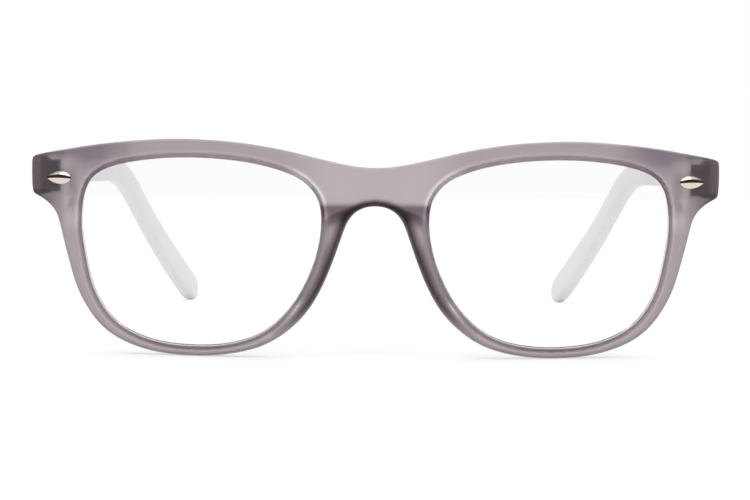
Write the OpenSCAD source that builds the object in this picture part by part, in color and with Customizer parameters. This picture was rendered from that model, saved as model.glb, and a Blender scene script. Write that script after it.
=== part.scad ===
// Square eyeglasses with photochromic lenses, moulded front and sprung three-barrel hinges.
// The origin lies on the table under the middle of the opened glasses. The front looks along -Y,
// the temples run back along +Y, and +Z is up. Left is the wearer's right, on the -X side.

/* [Front] */
// Overall width of the front, end to end
front_w = 143.8; // [141:0.2:149]
// Distance between the lenses across the nose
bridge_w = 22; // [20:0.5:24]
// Width of a lens opening at the front face
lens_w = 50; // [48:0.5:51]
// Height of a lens opening at the front face
lens_h = 39.1; // [36:0.1:41]
// Width of the rim under the lens
rim_foot_w = 2.1; // [1.8:0.1:3]
// Width of the rim above the lens
rim_brow_w = 3.65; // [3:0.05:4.5]
// Width of the rim beside the temple, halfway down
rim_side_w = 3.3; // [3:0.1:4.5]
// Width of the rim beside the nose
rim_nose_w = 3.4; // [3:0.1:4.5]
// Thickness of the rims from front to back
front_t = 4; // [3.6:0.1:4.6]
// Radius of the sphere that the front face follows
face_r = 250; // [220:5:300]
// Forward lean of the front's top edge
lean = 4; // [2:0.5:6]
// Height of the end piece that carries the hinge
end_h = 8.3; // [8.2:0.1:9.5]
// Drop of the end piece's upper corner below the top of the lens opening
end_drop = 0.15; // [0:0.05:0.5]
// Rise of the bridge's upper edge over its arch
bridge_h = 7.7; // [7:0.1:9]
// Drop of the bridge's upper edge below the top of the lens opening
bridge_drop = 1.8; // [1:0.1:2.5]
// Radius along the outer and inner front edges
edge_r = 0.45; // [0.3:0.05:0.6]
// Radius along the outer back edge
back_r = 0.9; // [0.6:0.1:1.2]

/* [Nose pads] */
// Width of the bevel beside the nose, seen from the front
bevel_w = 2; // [1.2:0.1:2.4]
// Depth of that bevel
bevel_d = 2.4; // [1.8:0.1:3]
// Reach of each moulded pad behind the rim
pad_d = 4.4; // [3:0.1:5.5]
// Splay of each pad away from the nose
pad_splay = 1.9; // [1.2:0.1:2.2]

/* [Lenses] */
// Thickness of a lens
lens_t = 2; // [1.6:0.1:2.4]
// Depth of a lens's front surface behind the front face of the rim
lens_set = 0.95; // [0.7:0.05:1.2]
// Depth of the groove that holds the lens
groove_d = 0.8; // [0.6:0.05:1]
// Width of the groove at its mouth
groove_w = 1.6; // [1.2:0.1:1.8]
// Clearance between a lens and its groove
lens_fit = 0.06; // [0.03:0.01:0.1]

/* [Temples] */
// Thickness of a temple at its hinge end
temple_t = 4; // [3.6:0.1:4.4]
// Thickness of the ear tip
tip_t = 3.9; // [3.2:0.1:4.4]
// Height of the slim part of a temple
shaft_h = 6.2; // [5.8:0.1:7]
// Height of the ear tip
tip_h = 8.8; // [8:0.1:9.5]
// Length from the hinge end to the middle of the ear bend
shaft_l = 84; // [78:1:92]
// Fall of the ear part below level
ear_fall = 36.5; // [33:0.5:40]
// Radius of the ear bend along the middle of the temple
bend_r = 34; // [28:1:40]
// Length of the hinge end that runs straight in plan
plain_l = 46; // [40:1:52]
// Radius of the inward bow in plan
bow_r = 232; // [215:1:260]
// Gap between the temple's hinge end and the back of the front
butt_gap = 0.12; // [0.08:0.01:0.2]

/* [Hinges] */
// Distance of the hinge pin inside the front's outer end
pin_inset = 4.15; // [4:0.05:4.3]
// Distance of the hinge pin behind the end piece
pin_back = 2.2; // [2.15:0.05:2.4]
// Radius of the hinge barrels
barrel_r = 1.4; // [1.3:0.05:1.5]
// Height of the three barrels together
barrels_h = 5.8; // [5.4:0.1:6.2]
// Height of the middle barrel
mid_h = 2.6; // [2.2:0.1:2.8]
// Width of the leaf let into the front
leaf_w = 4.2; // [3.6:0.1:4.4]
// Height of that leaf
leaf_h = 6.6; // [6:0.1:6.8]
// Thickness of that leaf
leaf_t = 1.2; // [1:0.1:1.4]
// Radius of the hinge screw's shank
screw_r = 0.7; // [0.6:0.05:0.75]
// Radius of the hinge screw's head
head_r = 1.1; // [1:0.05:1.2]
// Height of the hinge screw's head
head_h = 0.7; // [0.5:0.05:0.8]
// Running clearance on the screw and between the barrels
run_fit = 0.04; // [0.03:0.01:0.06]
// Clearance round parts that are let into the plastic
seat_fit = 0.05; // [0.03:0.01:0.08]

/* [Spring units] */
// Height of a spring housing
house_h = 4; // [3.9:0.1:4.4]
// Thickness of a spring housing, inside face to outside face
house_w = 3.8; // [3.7:0.1:4]
// Radius of the bore for the spring
bore_r = 1.45; // [1.4:0.05:1.5]
// Wall that closes the far end of the bore
house_end = 1.5; // [1.2:0.1:2.5]
// Radius of the slider's rod
rod_r = 0.55; // [0.5:0.05:0.6]
// Length of the bush that closes the housing
bush_l = 2; // [1.6:0.1:2.4]
// Length of the stop on the end of the rod
stop_l = 1; // [0.8:0.1:1.2]
// Wire thickness of the spring
wire_d = 0.46; // [0.4:0.02:0.5]
// Number of turns of the spring
turns = 8; // [6:1:9]
// Gap left between the turns when the spring is pressed together
turn_gap = 0.3; // [0.2:0.05:0.35]
// Travel of the slider out of its housing
flex = 1.2; // [0.8:0.1:1.4]

/* [Studs] */
// Length of a stud's almond head
stud_l = 5.1; // [4.4:0.1:5.4]
// Height of a stud's almond head
stud_h = 2.6; // [2.2:0.1:2.8]
// Proud height of a stud
stud_t = 0.75; // [0.6:0.05:0.9]
// Depth that a stud's head is let into the front
stud_set = 0.25; // [0.2:0.05:0.35]
// Radius of a stud's post
post_r = 0.7; // [0.6:0.05:0.8]
// Length of a stud's post below its head
post_l = 1.8; // [1.4:0.1:2]
// Distance of a stud inside the front's outer end
stud_inset = 6.5; // [5.8:0.05:6.8]
// Drop of a stud below the middle of the end piece
stud_drop = 0.4; // [0:0.05:0.8]

/* [Hidden] */

// Colours
smoke = [0.64, 0.60, 0.62];
frost = [0.92, 0.91, 0.93];
clear = [0.93, 0.95, 0.96, 0.45];
nickel = [0.80, 0.79, 0.77];
steel = [0.62, 0.62, 0.63];
brass = [0.78, 0.68, 0.42];

// General curves and small helpers
eps = 0.001;
function mix(a, b, t) = a + (b - a) * t;
function ramp(a, b, x) = let (t = max(0, min(1, (x - a) / (b - a)))) t * t * (3 - 2 * t);
function unit(v) = v / norm(v);
function spline(a, b, c, d, t) =
    0.5 * (2 * b + (c - a) * t + (2 * a - 5 * b + 4 * c - d) * t * t + (3 * b - a - 3 * c + d) * t * t * t);
function near(list, i) = list[max(0, min(len(list) - 1, i))];
// Value at x of a smooth curve through [x, value] keys
function keyed(keys, x) =
    let (
        i = max([0, for (k = [0 : len(keys) - 2]) if (keys[k][0] <= x) k]),
        t = (x - keys[i][0]) / (keys[i + 1][0] - keys[i][0])
    )
    spline(near(keys, i - 1)[1], keys[i][1], keys[i + 1][1], near(keys, i + 2)[1], t);

// Lens opening in the plane of the front: X outward from the nose, Z up from the lower rim.
// The control points are shares of half the opening's width and height, counterclockwise from the nose.
lens_x = (bridge_w + lens_w) / 2;
lens_z = rim_foot_w + lens_h / 2;
LENS_SHAPE = [
    [-1, 0.354], [-0.948, -0.062], [-0.784, -0.503], [-0.54, -0.821], [-0.24, -0.967], [0.12, -1],
    [0.46, -0.938], [0.732, -0.754], [0.896, -0.441], [0.968, -0.072], [1, 0.303], [0.948, 0.682],
    [0.768, 0.877], [0.4, 0.977], [-0.02, 1], [-0.44, 0.951], [-0.776, 0.826], [-0.952, 0.631]
];
shape_n = len(LENS_SHAPE);
function shape_pt(i) =
    let (p = LENS_SHAPE[(i + shape_n) % shape_n]) [lens_x + p[0] * lens_w / 2, lens_z + p[1] * lens_h / 2];
function opening(u) =
    let (i = floor(u)) spline(shape_pt(i - 1), shape_pt(i), shape_pt(i + 1), shape_pt(i + 2), u - i);
function opening_out(u) =
    let (d = opening(u + 0.01) - opening(u - 0.01)) unit([d[1], -d[0]]);

// Rim widths along the lens opening, square to it
foot = rim_foot_w;
side = rim_side_w;
nose = rim_nose_w;
brow = rim_brow_w;
RIM_LOW = [
    [0, nose * 1.69], [0.5, nose * 1.26], [1, nose * 1.09], [2, nose], [3, mix(foot, nose, 0.35)], [4, foot],
    [5, foot], [6, foot * 1.1], [7, side * 0.86], [8, side], [9, side * 1.17], [9.5, side * 1.28], [10, side * 1.44]
];
RIM_TOP = [
    [11.5, brow * 1.95], [12, brow * 1.41], [12.5, brow * 1.18], [13, brow * 1.08], [14, brow],
    [15, brow * 1.01], [15.5, brow * 1.1], [16, brow * 1.27], [16.5, brow * 1.73]
];
function rim_low(u) = opening(u) + opening_out(u) * keyed(RIM_LOW, u);
function rim_top(u) = opening(u) + opening_out(u) * keyed(RIM_TOP, u);

// Corners of the end piece, and heights of the bridge
lens_top = lens_z + lens_h / 2;
end_x = front_w / 2;
end_top = lens_top - end_drop;
end_low = end_top - end_h;
bridge_top = lens_top - bridge_drop;
arch_z = bridge_top - bridge_h;

// The outline of the right half, one [u, x, z] for each station: u is the place on the lens opening
// that the station starts from, x and z are its end on the outline
function at(u, p) = [u, p[0], p[1]];
LOW_STATIONS = [for (u = [0.5 : 0.25 : 9.75]) at(u, rim_low(u))];
TOP_STATIONS = [for (u = [12 : 0.3333 : 16]) at(u, rim_top(u))];

// The end piece, as [u, way in from the outer end, way up from the lower corner] in shares of its height
END_SHAPE = [
    [10, 0.69, -0.524], [10.15, 0.619, -0.393], [10.3, 0.536, -0.28], [10.45, 0.417, -0.167],
    [10.58, 0.262, -0.065], [10.68, 0.125, 0], [10.75, 0.048, 0.048], [10.81, 0.012, 0.137],
    [10.95, 0, 0.429], [11.1, 0, 0.714], [11.2, 0.006, 0.893], [11.26, 0.036, 0.97],
    [11.33, 0.131, 1.012], [11.45, 0.476, 1.077], [11.6, 0.829, 1.14], [11.8, 1.286, 1.226]
];
END_STATIONS = [for (p = END_SHAPE) [p[0], end_x - p[1] * end_h, end_low + p[2] * end_h]];

// The bridge's upper edge, its middle and its arch, as [u, share of half the bridge's width, and the
// way up in shares of the bridge's height, counted from the arch]
BRIDGE_SHAPE = [
    [16.2, 1.055, 1.244], [16.36, 0.705, 1.128], [16.5, 0.355, 1.033], [16.62, 0, 1],
    [16.76, 0, 0.78], [16.9, 0, 0.56], [17.02, 0, 0.36], [17.13, 0, 0.18], [17.25, 0, 0],
    [17.36, 0.118, -0.013], [17.48, 0.216, -0.05], [17.6, 0.309, -0.113], [17.73, 0.378, -0.188],
    [17.88, 0.442, -0.3], [18.03, 0.491, -0.419], [18.2, 0.532, -0.544], [18.36, 0.577, -0.713]
];
BRIDGE_STATIONS = [for (p = BRIDGE_SHAPE) [p[0], p[1] * bridge_w / 2, arch_z + p[2] * bridge_h]];
STATIONS = concat(LOW_STATIONS, END_STATIONS, TOP_STATIONS, BRIDGE_STATIONS);
count = len(STATIONS);

function station(k) = STATIONS[(k + count) % count];
function edge_pt(k) = [station(k)[1], station(k)[2]];
function is_mid(k) = edge_pt(k)[0] < eps;
// True where both neighbours lie on the middle plane too
function inside_mid(k) = is_mid(k) && is_mid(k - 1) && is_mid(k + 1);
function mirrored(p) = [-p[0], p[1]];
function edge_out(k) =
    let (
        before = is_mid(k) && is_mid(k - 1) ? mirrored(edge_pt(k + 1)) : edge_pt(k - 1),
        after = is_mid(k) && is_mid(k + 1) ? mirrored(edge_pt(k - 1)) : edge_pt(k + 1),
        d = after - before
    )
    unit([d[1], -d[0]]);

// Depth of the front face behind its foremost point, and of the flat back of the end piece
face_z = mix(lens_z, lens_top, 0.077);
function face_y(p) = face_r - sqrt(face_r * face_r - p[0] * p[0] - pow(p[1] - face_z, 2));
function face_pt(p, t) = [p[0], face_y(p) + t, p[1]];
// The flat back is upright once the front leans, and its upper corner is a little thinner than the rims
corner_thin = 0.35;
end_y = face_y([end_x, end_top]) + front_t - corner_thin - end_top * sin(lean);
function flat_t(p) = (end_y + p[1] * sin(lean)) / cos(lean) - face_y(p);
shoulder_x = end_x - end_h * 0.95;

// How far a station belongs to the nose pad, the nose bevel and the end piece, from 0 to 1
function turn(u) = u > 17 ? u - shape_n : u;
function off_nose(u) = u > 11 && u < 17;
function pad_share(u) = off_nose(u) ? 0 : ramp(-0.3, 0.15, turn(u)) * (1 - ramp(1.2, 2.3, turn(u)));
function bevel_share(u) =
    off_nose(u) ? 0 : mix(0.3, 1, ramp(-0.45, 0.05, turn(u))) * (1 - ramp(1.6, 3, turn(u)));
function end_share(u) = ramp(9.7, 10.4, u) * (1 - ramp(11.4, 12.4, u));

// One cross-section of the rim. Each entry is a plan point and a depth behind the front face.
function section(k) =
    let (
        u = station(k)[0],
        a = opening(u),
        n = opening_out(u),
        b = edge_pt(k),
        m = edge_out(k),
        pad = pad_share(u),
        band = bevel_share(u),
        tail = end_share(u),
        front_w0 = mix(edge_r, bevel_w, band),
        front_d0 = mix(edge_r, bevel_d, band),
        groove_y = lens_set + lens_t / 2,
        reach = front_t + pad_d,
        in_r = edge_r * 0.8,
        out_r = back_r * mix(1, 0.4, tail),
        a_in = a + n * in_r,
        shoulder = mix(b, a, max(0.35, min(0.8, (b[0] - shoulder_x) / max(1, b[0] - a[0])))),
        c9 = b - m * mix(0, pad_splay * 0.25, pad),
        c10 = b - m * mix(out_r * 0.3, pad_splay * 0.65, pad),
        c11 = b - m * mix(out_r, pad_splay, pad),
        c12 = mix(mix(c11, a_in, mix(0.33, 0.45, pad)), shoulder, tail),
        c13 = mix(c12, a_in, mix(0.5, 0.72, pad)),
        y9 = mix(mix(front_t - out_r, mix(front_d0, reach, 0.45), pad), flat_t(c9) - out_r, tail),
        y10 = mix(mix(front_t - out_r * 0.3, mix(front_d0, reach, 0.85), pad), flat_t(c10) - out_r * 0.3, tail),
        y11 = mix(mix(front_t, reach, pad), flat_t(c11), tail),
        y12 = mix(mix(front_t, reach - front_t / 8, pad), flat_t(c12), tail),
        y13 = front_t * mix(1, 1.125, max(pad, tail))
    )
    [
        face_pt(a, groove_y - groove_w / 2),
        face_pt(a, in_r),
        face_pt(a + n * in_r * 0.3, in_r * 0.3),
        face_pt(a + n * in_r, 0),
        face_pt(b - m * front_w0, 0),
        face_pt(b - m * front_w0 * 0.62, front_d0 * 0.08),
        face_pt(b - m * front_w0 * 0.25, front_d0 * 0.38),
        face_pt(b, front_d0),
        face_pt(c9, y9),
        face_pt(c10, y10),
        face_pt(c11, y11),
        face_pt(c12, y12),
        face_pt(c13, y13),
        face_pt(a + n * in_r, front_t),
        face_pt(a + n * in_r * 0.3, front_t - in_r * 0.3),
        face_pt(a, front_t - in_r),
        face_pt(a, groove_y + groove_w / 2),
        face_pt(a + n * groove_d, groove_y)
    ];
ring = 18;
// First point on the middle plane at the front face, and its fellow at the back
mid_front = 4;
mid_back = 10;

function mid_section(k) =
    let (s = section(k), b = edge_pt(k))
    [for (j = [0 : ring - 1])
        j >= mid_front && j <= 7 ? face_pt(b, 0) : j > 7 && j <= mid_back ? face_pt(b, front_t) : s[j]];
SECTIONS = [for (k = [0 : count - 1]) inside_mid(k) ? mid_section(k) : section(k)];

// Index of one point of the mesh. Points on the middle plane are shared by both halves.
function on_mid(k, j) = is_mid(k) && j >= mid_front && j <= mid_back;
function merged(k, j) =
    !inside_mid(k) || j < mid_front || j > mid_back ? j : j <= 7 ? mid_front : mid_back;
function index(half, k, j) =
    let (q = (k + count) % count, i = merged(q, (j + ring) % ring))
    (on_mid(q, i) ? 0 : half * count * ring) + q * ring + i;
function is_whole(t) = t[0] != t[1] && t[1] != t[2] && t[2] != t[0];
function is_between(k, j) = on_mid(k % count, j % ring);
function triangles(half) =
    [for (k = [0 : count - 1], j = [0 : ring - 1])
        let (
            a = index(half, k, j),
            b = index(half, k + 1, j),
            c = index(half, k + 1, j + 1),
            d = index(half, k, j + 1),
            am = is_between(k, j),
            bm = is_between(k + 1, j),
            cm = is_between(k + 1, j + 1),
            dm = is_between(k, j + 1)
        )
        each [
            if (is_whole([a, b, c]) && !(am && bm && cm)) half == 0 ? [a, b, c] : [c, b, a],
            if (is_whole([a, c, d]) && !(am && cm && dm)) half == 0 ? [a, c, d] : [d, c, a]
        ]
    ];

// Height and length of the whole, so that it stands on z = 0 with its middle over the origin
RIM_PTS = [for (s = SECTIONS, p = s) [p[1] * cos(lean) - p[2] * sin(lean), p[1] * sin(lean) + p[2] * cos(lean)]];
front_low = min([for (p = RIM_PTS) p[1]]);
front_fore = min([for (p = RIM_PTS) p[0]]);

// Middle line of a temple seen from the side, as [y, z], from its hinge end at y = 0
butt_y = end_y + butt_gap;
end_mid_z = mix(end_low, end_top, 0.5) * cos(lean) + end_y * sin(lean) - front_low;
// A temple stands back from the outline of the end piece by this much all round
temple_inset = 0.1;
butt_h = end_h - 2 * temple_inset;
shaft_z = end_mid_z + (butt_h - shaft_h) / 2;
tip_end = tip_h / 2;
run = bend_r * tan(ear_fall / 2);
// Distance down the ear part from the bend's middle to the centre of the rounded tip
ear_l = (shaft_z - tip_end) / sin(ear_fall);
function side_line(s) =
    s < 0 ? [shaft_l + s, shaft_z] : [shaft_l + s * cos(ear_fall), shaft_z - s * sin(ear_fall)];
// Stations: [y, z, direction below level, height, share of the way to the tip]
function shaft_station(y) =
    let (h = mix(butt_h, shaft_h, ramp(0, shaft_l * 0.48, y))) [y, shaft_z + (shaft_h - h) / 2, 0, h];
function bend_station(t) =
    let (a = ear_fall * t)
    [shaft_l - run + bend_r * sin(a), shaft_z - bend_r * (1 - cos(a)), a, mix(shaft_h, ear_h0, t)];
ear_h0 = mix(shaft_h, tip_h, 0.35);
function ear_station(t) =
    let (s = mix(run, ear_l, t), p = side_line(s)) [p[0], p[1], ear_fall, mix(ear_h0, tip_h, ramp(0, 1, t))];
function tip_station(a) =
    let (p = side_line(ear_l + tip_end * sin(a))) [p[0], p[1], ear_fall, tip_h * cos(a)];
TEMPLE = concat(
    [for (t = [0, 0.014, 0.048, 0.107, 0.179, 0.262, 0.357, 0.476, 0.619]) shaft_station(shaft_l * t)],
    [for (t = [0 : 0.1667 : 1.01]) bend_station(t)],
    [for (t = [0.16, 0.34, 0.52, 0.7, 0.86, 1]) ear_station(t)],
    [for (a = [24, 45, 62, 75, 84]) tip_station(a)]
);
temple_out = end_x - temple_inset;
function bow(y) = y < plain_l ? 0 : pow(y - plain_l, 2) / (2 * bow_r);
function temple_x(y) = temple_out - bow(y);
function thick(y) = mix(temple_t, tip_t, ramp(shaft_l * 0.24, shaft_l * 1.07, y));
temple_corner = 0.75;
// Corner points of the rounded oblong section, as shares of its half sizes and whole corner radii
OBLONG = [
    [1, -1, 0, 1], [1, -1, 0.3, 0.3], [1, -1, 1, 0], [0, -1, 0, 0], [-1, -1, 1, 0], [-1, -1, 0.3, 0.3], [-1, -1, 0, 1],
    [-1, 0, 0, 0], [-1, 1, 0, 1], [-1, 1, 0.3, 0.3], [-1, 1, 1, 0], [0, 1, 0, 0], [1, 1, 1, 0], [1, 1, 0.3, 0.3],
    [1, 1, 0, 1], [1, 0, 0, 0]
];
round_n = len(OBLONG);
function temple_ring(s, last) =
    let (
        t = thick(s[0]),
        shut = s[3] / tip_h,
        w = last ? t * mix(0.45, 1, min(1, shut * 1.35)) : t,
        r = min(last ? w * 0.4 : mix(temple_corner, t * 0.36, ramp(0, shaft_l * 0.7, s[0])), s[3] * 0.4),
        mid_x = temple_x(s[0]) - t / 2
    )
    [for (q = OBLONG)
        let (
            x = q[0] * w / 2 - q[0] * q[2] * r,
            h = q[1] * s[3] / 2 - q[1] * q[3] * r
        )
        [mid_x + x, butt_y + s[0] + h * sin(s[2]), s[1] + h * cos(s[2])]
    ];
temple_n = len(TEMPLE);
tip_from = temple_n - 5;
LOOSE_RINGS = [for (i = [0 : temple_n - 1]) temple_ring(TEMPLE[i], i >= tip_from)];
temple_low = min([for (r = LOOSE_RINGS, p = r) p[2]]);
// The ear part is drawn down the last trace so that the tip touches the table
function seated(p) = [p[0], p[1], p[2] - temple_low * ramp(butt_y + shaft_l - run, butt_y + shaft_l + run, p[1])];
TEMPLE_RINGS = [for (r = LOOSE_RINGS) [for (p = r) seated(p)]];
temple_back = max([for (r = TEMPLE_RINGS, p = r) p[1]]);
origin_y = -(front_fore + temple_back) / 2;

// Hinge places in the standing frame. The slider is drawn home by its spring, so the rod nearly
// reaches the end of the bore, and the spring is long enough to give way by the slider's travel.
barrel_air = 0.25;
rod_air = 0.35;
// Room that the temple leaves round the barrels and their lugs
barrel_room = 0.3;
pin_x = end_x - pin_inset;
pin_y = end_y + pin_back;
// Height of a screw's head above the upper barrel
head_out = head_h * 0.4;
hinge_z = end_mid_z - head_out / 2;
gap_z = (barrels_h - mid_h) / 2;
house_y = pin_y + barrel_r + barrel_air;
spring_y0 = house_y + bush_l + run_fit;
spring_y1 = spring_y0 + turns * (wire_d + turn_gap) + wire_d + flex;
stop_y = spring_y1 + run_fit;
rod_end = stop_y + stop_l;
bore_l = rod_end + rod_air - house_y;
house_l = bore_l + house_end;

// Moves a piece of the front, drawn in the front's own plane, to its place
module on_front() {
    translate([0, origin_y, -front_low])
        rotate([lean, 0, 0]) children();
}

// Moves a piece drawn in the standing frame, for the right side or mirrored for the left
module on_side(left) {
    mirror([left ? 1 : 0, 0, 0])
        translate([0, origin_y, 0]) children();
}

// Puts a piece square to the front face at a point, with its depth along Y
module on_face(x, z) {
    translate(face_pt([x, z], 0))
        rotate([0, 0, asin(x / face_r)])
            rotate([-asin((z - face_z) / face_r), 0, 0]) children();
}

module box_y(w, l, h) {
    translate([-w / 2, 0, -h / 2]) cube([w, l, h]);
}

// Block with a half-round far end, as a slot cutter leaves
module slot_y(w, l, h) {
    box_y(w, l - h / 2, h);
    translate([0, l - h / 2, 0]) rotate([0, 90, 0]) cylinder(r = h / 2, h = w, center = true, $fn = 64);
}

module rod_y(r, l) {
    rotate([-90, 0, 0]) cylinder(r = r, h = l, $fn = 48);
}

// Almond of length l and height h, h measured along Z, lying along X
module almond(l, h, t) {
    arc_r = (l * l + h * h) / (4 * h);
    rotate([90, 0, 0]) linear_extrude(height = t) intersection() {
        translate([0, arc_r - h / 2]) circle(r = arc_r, $fn = 120);
        translate([0, h / 2 - arc_r]) circle(r = arc_r, $fn = 120);
    }
}

stud_x = end_x - stud_inset;
stud_z = mix(end_low, end_top, 0.5) - stud_drop;

module stud_seat() {
    on_face(stud_x, stud_z) {
        translate([0, stud_set, 0]) almond(stud_l + 2 * seat_fit, stud_h + 2 * seat_fit, stud_set + 1);
        rod_y(post_r + seat_fit, stud_set + post_l + 0.1);
    }
}

module leaf_seat() {
    translate([pin_x, end_y - leaf_t, hinge_z]) {
        box_y(leaf_w + 2 * seat_fit, leaf_t + front_t, leaf_h + 2 * seat_fit);
    }
}

module front() {
    color(smoke) difference() {
        on_front() polyhedron(
            points = concat([for (s = SECTIONS, p = s) p], [for (s = SECTIONS, p = s) [-p[0], p[1], p[2]]]),
            faces = concat(triangles(0), triangles(1))
        );
        on_front() stud_seat();
        on_front() mirror([1, 0, 0]) stud_seat();
        on_side(false) leaf_seat();
        on_side(true) leaf_seat();
    }
}

// A lens is a piece of a spherical shell inside a drum with the bevelled edge of the groove
module lens_drum() {
    y0 = -3;
    y1 = 22;
    groove_y = lens_set + lens_t / 2;
    half_v = groove_w / 2 - lens_fit;
    us = [for (s = STATIONS) s[0]];
    edge = [for (u = us) opening(u) - opening_out(u) * lens_fit];
    apex = [for (u = us) opening(u) + opening_out(u) * (groove_d - lens_fit)];
    pts = concat(
        [for (p = edge) [p[0], y0, p[1]]],
        [for (p = edge) face_pt(p, groove_y - half_v)],
        [for (p = apex) face_pt(p, groove_y)],
        [for (p = edge) face_pt(p, groove_y + half_v)],
        [for (p = edge) [p[0], y1, p[1]]]
    );
    walls = [for (r = [0 : 3], k = [0 : count - 1])
        let (a = r * count + k, b = r * count + (k + 1) % count)
        each [[a, b + count, a + count], [a, b, b + count]]
    ];
    polyhedron(
        points = pts,
        faces = concat([[for (k = [count - 1 : -1 : 0]) k]], walls, [[for (k = [0 : count - 1]) 4 * count + k]])
    );
}

module lens(left) {
    shell_r = face_r - lens_set;
    color(clear) on_front() mirror([left ? 1 : 0, 0, 0]) intersection() {
        lens_drum();
        translate([0, face_r, face_z]) difference() {
            sphere(r = shell_r, $fn = 180);
            sphere(r = shell_r - lens_t, $fn = 180);
        }
    }
}

// Almond head with two slopes that meet in a narrow ridge, and a round post
module stud(left) {
    ridge = 0.18;
    half = stud_h / 2;
    color(nickel) on_front() mirror([left ? 1 : 0, 0, 0]) on_face(stud_x, stud_z) {
        intersection() {
            translate([0, stud_set, 0]) almond(stud_l, stud_h, stud_set + stud_t);
            translate([-stud_l / 2, 0, 0]) rotate([90, 0, 90]) linear_extrude(height = stud_l)
                polygon([
                    [stud_set, -half], [-0.05, -half], [-stud_t, -ridge], [-stud_t, ridge],
                    [-0.05, half], [stud_set, half]
                ]);
        }
        translate([0, stud_set, 0]) rod_y(post_r, post_l);
    }
}

// Leaf let into the front, with the upper and lower barrels
module hinge_block(left) {
    lug_h = gap_z - run_fit;
    color(steel) on_side(left) translate([pin_x, pin_y, hinge_z]) difference() {
        union() {
            translate([0, -pin_back - leaf_t, 0]) box_y(leaf_w, leaf_t, leaf_h);
            for (s = [-1, 1]) translate([0, 0, s * (barrels_h - lug_h) / 2]) {
                translate([0, -pin_back, 0]) box_y(2 * barrel_r, pin_back, lug_h);
                cylinder(r = barrel_r, h = lug_h, center = true, $fn = 64);
            }
        }
        cylinder(r = screw_r + run_fit, h = barrels_h + 2, center = true, $fn = 48);
        translate([0, 0, barrels_h / 2 + head_out - head_h]) cylinder(r = head_r + run_fit, h = 2, $fn = 48);
    }
}

// Slotted screw that is the hinge pin
module hinge_screw(left) {
    head_z = barrels_h / 2 + head_out - head_h;
    slot_w = 0.28;
    color(steel) on_side(left) translate([pin_x, pin_y, hinge_z]) difference() {
        union() {
            translate([0, 0, -barrels_h / 2]) cylinder(r = screw_r, h = barrels_h / 2 + head_z, $fn = 48);
            translate([0, 0, head_z]) cylinder(r = head_r, h = head_h, $fn = 48);
        }
        translate([0, 0, head_z + head_h]) cube([slot_w, 2 * head_r + 1, head_h * 0.9], center = true);
    }
}

// Middle barrel with the rod that draws the spring
module slider(left) {
    neck_w = 1.5;
    neck_h = 2;
    color(steel) on_side(left) translate([pin_x, pin_y, hinge_z]) difference() {
        union() {
            cylinder(r = barrel_r, h = mid_h - 2 * run_fit, center = true, $fn = 64);
            box_y(neck_w, barrel_r + barrel_air * 0.6, neck_h);
            rod_y(rod_r, rod_end - pin_y);
        }
        cylinder(r = screw_r + run_fit, h = mid_h + 1, center = true, $fn = 48);
    }
}

module rod_stop(left) {
    color(steel) on_side(left) translate([pin_x, stop_y, hinge_z]) difference() {
        rod_y(bore_r - 0.15, stop_l);
        translate([0, -1, 0]) rod_y(rod_r + run_fit / 2, stop_l + 2);
    }
}

module spring_bush(left) {
    color(brass) on_side(left) translate([pin_x, house_y, hinge_z]) difference() {
        rod_y(bore_r - run_fit / 2, bush_l);
        translate([0, -1, 0]) rod_y(rod_r + run_fit, bush_l + 2);
    }
}

// Coil spring between the bush and the rod's stop
module hinge_spring(left) {
    steps = 12;
    sides = 6;
    coil_r = mix(rod_r, bore_r, 0.5);
    rise = spring_y1 - spring_y0 - wire_d;
    rings = [for (i = [0 : turns * steps])
        let (a = i * 360 / steps, y = wire_d / 2 + rise * i / (turns * steps))
        [for (j = [0 : sides - 1])
            let (b = j * 360 / sides + 30, r = coil_r + cos(b) * wire_d / 2)
            [r * cos(a), y + sin(b) * wire_d / 2, r * sin(a)]
        ]
    ];
    last = turns * steps;
    walls = [for (i = [0 : last - 1], j = [0 : sides - 1])
        let (a = i * sides + j, b = i * sides + (j + 1) % sides)
        each [[a, b + sides, b], [a, a + sides, b + sides]]
    ];
    color(steel) on_side(left) translate([pin_x, spring_y0, hinge_z]) polyhedron(
        points = [for (r = rings, p = r) p],
        faces = concat([[for (j = [0 : sides - 1]) j]], walls, [[for (j = [sides - 1 : -1 : 0]) last * sides + j]])
    );
}

module spring_housing(left) {
    color(steel) on_side(left) translate([pin_x, house_y, hinge_z]) difference() {
        slot_y(house_w, house_l, house_h);
        translate([0, -1, 0]) rod_y(bore_r, bore_l + 1);
    }
}

module temple(left) {
    room_h = barrels_h + head_out + 2 * barrel_room;
    walls = [for (i = [0 : temple_n - 2], j = [0 : round_n - 1])
        let (a = i * round_n + j, b = i * round_n + (j + 1) % round_n)
        each [[a, b + round_n, b], [a, a + round_n, b + round_n]]
    ];
    color(frost) on_side(left) difference() {
        polyhedron(
            points = [for (r = TEMPLE_RINGS, p = r) p],
            faces = concat(
                [[for (j = [0 : round_n - 1]) j]],
                walls,
                [[for (j = [round_n - 1 : -1 : 0]) (temple_n - 1) * round_n + j]]
            )
        );
        translate([pin_x, house_y - 0.2, hinge_z])
            slot_y(house_w + 2 * seat_fit, house_l + 0.2 + seat_fit, house_h + 2 * seat_fit);
        translate([pin_x, pin_y, hinge_z + head_out / 2]) {
            cylinder(r = barrel_r + barrel_room, h = room_h, center = true, $fn = 64);
            translate([0, -pin_back - 1, 0])
                box_y(2 * (barrel_r + barrel_room), pin_back + 1, room_h);
        }
    }
}

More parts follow.
